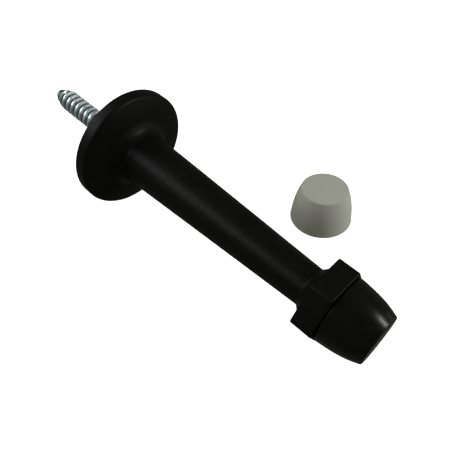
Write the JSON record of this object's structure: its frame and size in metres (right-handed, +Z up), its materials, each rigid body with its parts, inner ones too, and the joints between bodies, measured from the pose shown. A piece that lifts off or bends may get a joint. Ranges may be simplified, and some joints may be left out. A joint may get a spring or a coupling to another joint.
{
  "type": "rigid wall door stop",
  "caption": "Rigid wall door stop: round flange, tapered post with wrench flats, hanger bolt and push-on rubber bumper, with a loose spare bumper beside it.",
  "frame": {"origin": "on the surface that the set lies on, under the middle of the whole set's box", "axes": "+X from the wall end towards the bumper, +Z up from that surface; the stop's own axis dips 6.5 degrees below +X, as it lies on its rim and a flat of the hexagon"},
  "size_m": [0.1312, 0.0612, 0.0381],
  "materials": {
    "black_metal": "satin black oxide or powder coat",
    "zinc_plate": "bright bluish zinc plate",
    "black_rubber": "smooth moulded, semi-gloss",
    "grey_rubber": "smooth moulded, matt, warm light grey"
  },
  "bodies": {
    "stop": {"post": "black_metal", "tip_stud": "zinc_plate"},
    "flange": {"flange": "black_metal"},
    "hanger_bolt": {"hanger_bolt": "zinc_plate"},
    "bumper": {"bumper": "black_rubber"},
    "spare_bumper": {"spare_bumper": "grey_rubber"}
  },
  "joints": [
    {"name": "bumper_pull", "type": "slide", "parent": "stop", "child": "bumper", "axis": [0.9936, 0, -0.1131], "range_m": [0, 0.012]},
    {"name": "spare_lift", "type": "slide", "parent": "stop", "child": "spare_bumper", "axis": [0, 0, 1], "range_m": [0, 0.04]},
    {"name": "unscrew_turn", "type": "hinge", "parent": "stop", "child": "flange", "pos_m": [-0.02984, -0.01162, 0.01925], "axis": [-0.9936, 0, 0.1131], "range_deg": [0, 3600]},
    {"name": "unscrew_travel", "type": "slide", "parent": "flange", "child": "hanger_bolt", "axis": [-0.9936, 0, 0.1131], "range_m": [0, 0.01271]}
  ],
  "couplings": [
    {"joint": "unscrew_travel", "follows": "unscrew_turn", "m_per_rad": 0.00020213}
  ]
}
